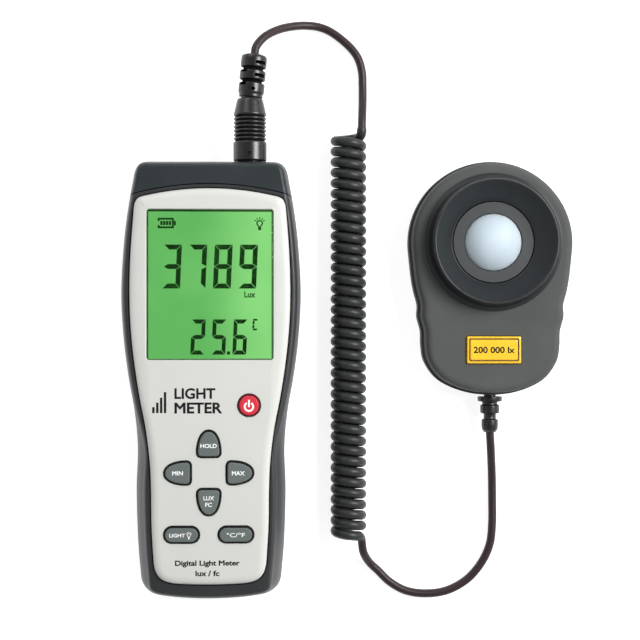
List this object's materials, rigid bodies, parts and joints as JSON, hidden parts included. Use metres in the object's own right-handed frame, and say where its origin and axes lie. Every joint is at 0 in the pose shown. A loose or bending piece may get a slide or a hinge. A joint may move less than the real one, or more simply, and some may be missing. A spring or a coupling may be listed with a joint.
{
  "type": "handheld light meter",
  "caption": "Handheld light meter: display unit with keys and backlit display, and a sensor head with a domed diffuser on a curly cord.",
  "frame": {"origin": "middle of the display unit's flat back, on the surface that it lies on", "axes": "+X from the display unit to the sensor head, +Y towards the end that holds the plug, +Z out of the display"},
  "size_m": [0.1887, 0.2449, 0.0352],
  "materials": {
    "dark_plastic": "fine textured charcoal ABS",
    "cap_plastic": "fine textured charcoal ABS, satin",
    "white_plastic": "satin light grey-white ABS",
    "clear_plastic": "clear glossy acrylic",
    "display": "backlit green liquid crystal display",
    "light_guide": "translucent light guide",
    "inner_plastic": "plain moulded ABS",
    "black_rubber": "silicone rubber",
    "board": "glass-fibre circuit board with green mask",
    "chip": "moulded epoxy",
    "steel": "nickel-plated steel",
    "cell": "printed steel battery jacket",
    "grey_rubber": "matt silicone rubber with a moulded grain",
    "red_rubber": "matt silicone rubber",
    "plug_rubber": "overmoulded PVC, satin",
    "relief_rubber": "overmoulded PVC, matt",
    "cord_rubber": "PVC cord jacket, brown-black",
    "coil_rubber": "PVC cord jacket, charcoal",
    "head_plastic": "fine textured grey ABS",
    "collar_plastic": "satin charcoal ABS",
    "ring_plastic": "matt grey ABS",
    "diffuser": "frosted opal acrylic diffuser",
    "filter": "green colour-correcting filter glass",
    "silicon": "silicon photodiode in a moulded case",
    "badge": "raised yellow badge, satin"
  },
  "bodies": {
    "meter": {"front_frame": "dark_plastic", "rear_shell": "dark_plastic", "front_panel": "white_plastic", "top_cap": "cap_plastic", "keypad_sheet": "black_rubber", "main_board": "board", "battery_1": "cell", "battery_2": "cell", "battery_3": "cell", "battery_spring_1": "steel", "battery_spring_2": "steel", "battery_spring_3": "steel", "probe_socket": "inner_plastic", "display_window": "clear_plastic", "case_screw_1": "steel", "case_screw_2": "steel", "case_screw_3": "steel", "case_screw_4": "steel", "lcd_holder": "inner_plastic", "battery_box": "inner_plastic", "lcd_glass": "display", "backlight_panel": "light_guide", "zebra_strip": "black_rubber", "controller_chip": "chip", "thermistor": "chip", "battery_contact_1": "steel", "battery_contact_2": "steel", "battery_contact_3": "steel"},
    "battery_door": {"battery_door": "dark_plastic"},
    "key_light": {"key_light": "grey_rubber"},
    "key_temperature": {"key_temperature": "grey_rubber"},
    "key_hold": {"key_hold": "grey_rubber"},
    "key_units": {"key_units": "grey_rubber"},
    "key_min": {"key_min": "grey_rubber"},
    "key_max": {"key_max": "grey_rubber"},
    "key_power": {"key_power": "red_rubber"},
    "probe": {"head_rear_shell": "head_plastic", "head_front_shell": "head_plastic", "plug_body": "plug_rubber", "head_collar": "collar_plastic", "cord_tail_head": "cord_rubber", "cord_tail_plug": "cord_rubber", "plug_relief": "relief_rubber", "head_relief": "relief_rubber", "dome_ring": "ring_plastic", "diffuser_dome": "diffuser", "plug_barrel": "steel", "range_badge": "badge", "head_screw_1": "steel", "head_screw_2": "steel", "head_screw_3": "steel", "head_board": "board", "cord_coil": "coil_rubber", "filter_glass": "filter", "plug_pin_1": "steel", "plug_pin_2": "steel", "plug_pin_3": "steel", "plug_pin_4": "steel", "photodiode": "silicon"}
  },
  "joints": [
    {"name": "key_power_press", "type": "slide", "parent": "meter", "child": "key_power", "axis": [0, 0, -1], "range_m": [0, 0.0008], "stiffness_N_per_m": 1200},
    {"name": "key_hold_press", "type": "slide", "parent": "meter", "child": "key_hold", "axis": [0, 0, -1], "range_m": [0, 0.0008], "stiffness_N_per_m": 1200},
    {"name": "key_min_press", "type": "slide", "parent": "meter", "child": "key_min", "axis": [0, 0, -1], "range_m": [0, 0.0008], "stiffness_N_per_m": 1200},
    {"name": "key_max_press", "type": "slide", "parent": "meter", "child": "key_max", "axis": [0, 0, -1], "range_m": [0, 0.0008], "stiffness_N_per_m": 1200},
    {"name": "key_units_press", "type": "slide", "parent": "meter", "child": "key_units", "axis": [0, 0, -1], "range_m": [0, 0.0008], "stiffness_N_per_m": 1200},
    {"name": "key_light_press", "type": "slide", "parent": "meter", "child": "key_light", "axis": [0, 0, -1], "range_m": [0, 0.0008], "stiffness_N_per_m": 1200},
    {"name": "key_temperature_press", "type": "slide", "parent": "meter", "child": "key_temperature", "axis": [0, 0, -1], "range_m": [0, 0.0008], "stiffness_N_per_m": 1200},
    {"name": "battery_door_slide", "type": "slide", "parent": "meter", "child": "battery_door", "axis": [0, -1, 0], "range_m": [0, 0.066]},
    {"name": "plug_pull", "type": "slide", "parent": "meter", "child": "probe", "axis": [0, 1, 0], "range_m": [0, 0.014]}
  ]
}
